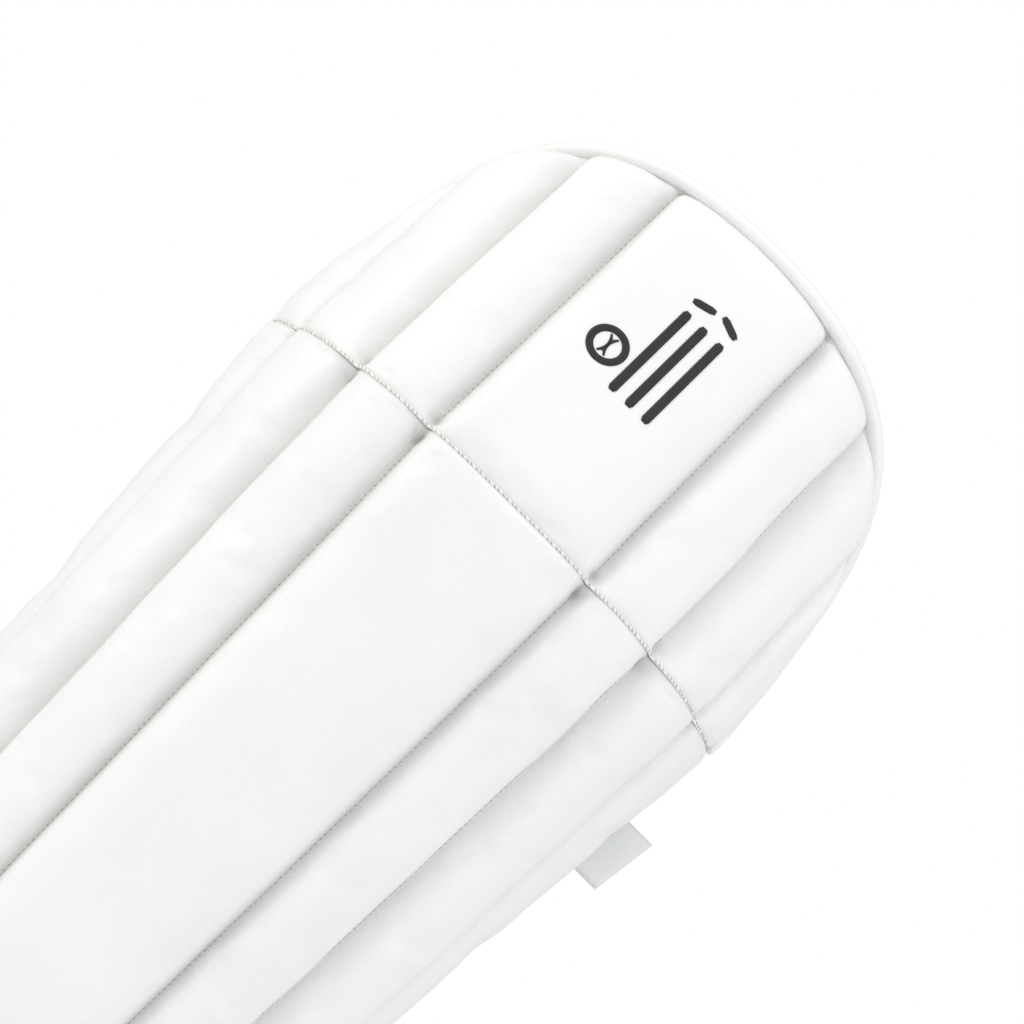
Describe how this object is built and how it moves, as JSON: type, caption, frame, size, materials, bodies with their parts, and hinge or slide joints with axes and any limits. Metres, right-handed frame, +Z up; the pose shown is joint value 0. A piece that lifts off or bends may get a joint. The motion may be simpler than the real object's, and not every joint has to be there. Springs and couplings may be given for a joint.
{
  "type": "cricket wicket-keeping leg pad",
  "caption": "Quilted white wicket keeper's leg pad with knee, shin and instep sections, side wings and hook-and-loop straps.",
  "frame": {"origin": "on the wearer's leg, level with the foot of the bottom hem, and in the middle of the pad's bounding box seen from above", "axes": "+Z up the shin, -Y the way the front faces, +Y back to the leg, +X to the right as the front is seen"},
  "size_m": [0.2872, 0.2112, 0.6253],
  "materials": {
    "facing": "white pebble-grained polyurethane-coated synthetic leather",
    "binding": "smooth white polyurethane binding tape",
    "wing": "white polyurethane-coated fabric over thin foam",
    "padding": "off-white foam and cotton wadding",
    "cane": "plain split cane",
    "board": "pale grey high-density foam board",
    "lining": "off-white woven cotton lining",
    "bolster": "off-white woven cotton over soft foam",
    "webbing": "white woven webbing",
    "hook": "white nylon hook tape",
    "loop": "white brushed nylon loop tape",
    "label": "blank pale grey woven tape"
  },
  "bodies": {
    "shin": {"shin_padding_edge_left": "padding", "shin_padding_outer_left": "padding", "cane_outer_left": "cane", "shin_padding_inner_left": "padding", "cane_inner_left": "cane", "shin_padding_centre": "padding", "cane_centre_1": "cane", "cane_centre_2": "cane", "cane_centre_3": "cane", "shin_padding_inner_right": "padding", "cane_inner_right": "cane", "shin_padding_outer_right": "padding", "cane_outer_right": "cane", "shin_padding_edge_right": "padding", "shin_facing": "facing", "shin_backing_board": "board", "shin_lining": "lining", "shin_bolster_left": "bolster", "shin_bolster_right": "bolster", "knee_rest_bolster": "bolster", "wing_left": "wing", "wing_binding_left": "binding", "wing_right": "wing", "wing_binding_right": "binding", "label_tab": "label", "strap_upper_loop_patch": "loop", "strap_upper_root_tab": "webbing", "strap_middle_loop_patch": "loop", "strap_middle_root_tab": "webbing", "strap_ankle_loop_patch": "loop", "strap_ankle_root_tab": "webbing"},
    "knee": {"knee_padding_edge_left": "padding", "knee_padding_outer_left": "padding", "knee_padding_inner_left": "padding", "knee_padding_centre": "padding", "knee_padding_inner_right": "padding", "knee_padding_outer_right": "padding", "knee_padding_edge_right": "padding", "knee_facing": "facing", "knee_backing_board": "board", "knee_lining": "lining", "knee_piping": "binding", "knee_bolster_left": "bolster", "knee_bolster_right": "bolster"},
    "instep": {"instep_padding_edge_left": "padding", "instep_padding_outer_left": "padding", "instep_padding_inner_left": "padding", "instep_padding_centre": "padding", "instep_padding_inner_right": "padding", "instep_padding_outer_right": "padding", "instep_padding_edge_right": "padding", "instep_facing": "facing", "instep_backing": "board", "instep_hem": "binding"},
    "strap_upper": {"strap_upper_webbing": "webbing", "strap_upper_hook_patch": "hook"},
    "strap_middle": {"strap_middle_webbing": "webbing", "strap_middle_hook_patch": "hook"},
    "strap_ankle": {"strap_ankle_webbing": "webbing", "strap_ankle_hook_patch": "hook"}
  },
  "joints": [
    {"name": "knee_flex", "type": "hinge", "parent": "shin", "child": "knee", "pos_m": [-0.00511, -0.07618, 0.455], "axis": [-1, 0, 0], "range_deg": [-6, 18], "stiffness_Nm_per_rad": 8, "deforming": ["shin_facing", "knee_facing", "knee_piping"]},
    {"name": "instep_flex", "type": "hinge", "parent": "shin", "child": "instep", "pos_m": [-0.00511, -0.08418, 0.0958], "axis": [-1, 0, 0], "range_deg": [0, 20], "stiffness_Nm_per_rad": 4},
    {"name": "strap_upper_wrap", "type": "hinge", "parent": "shin", "child": "strap_upper", "pos_m": [-0.11732, 0.07227, 0.372], "axis": [-0.1321, 0.0364, 0.9906], "range_deg": [0, 115]},
    {"name": "strap_middle_wrap", "type": "hinge", "parent": "shin", "child": "strap_middle", "pos_m": [-0.1044, 0.0664, 0.262], "axis": [-0.1, 0.0657, 0.9928], "range_deg": [0, 115]},
    {"name": "strap_ankle_wrap", "type": "hinge", "parent": "shin", "child": "strap_ankle", "pos_m": [-0.09386, 0.05687, 0.132], "axis": [-0.0613, 0.078, 0.9951], "range_deg": [0, 115]}
  ]
}
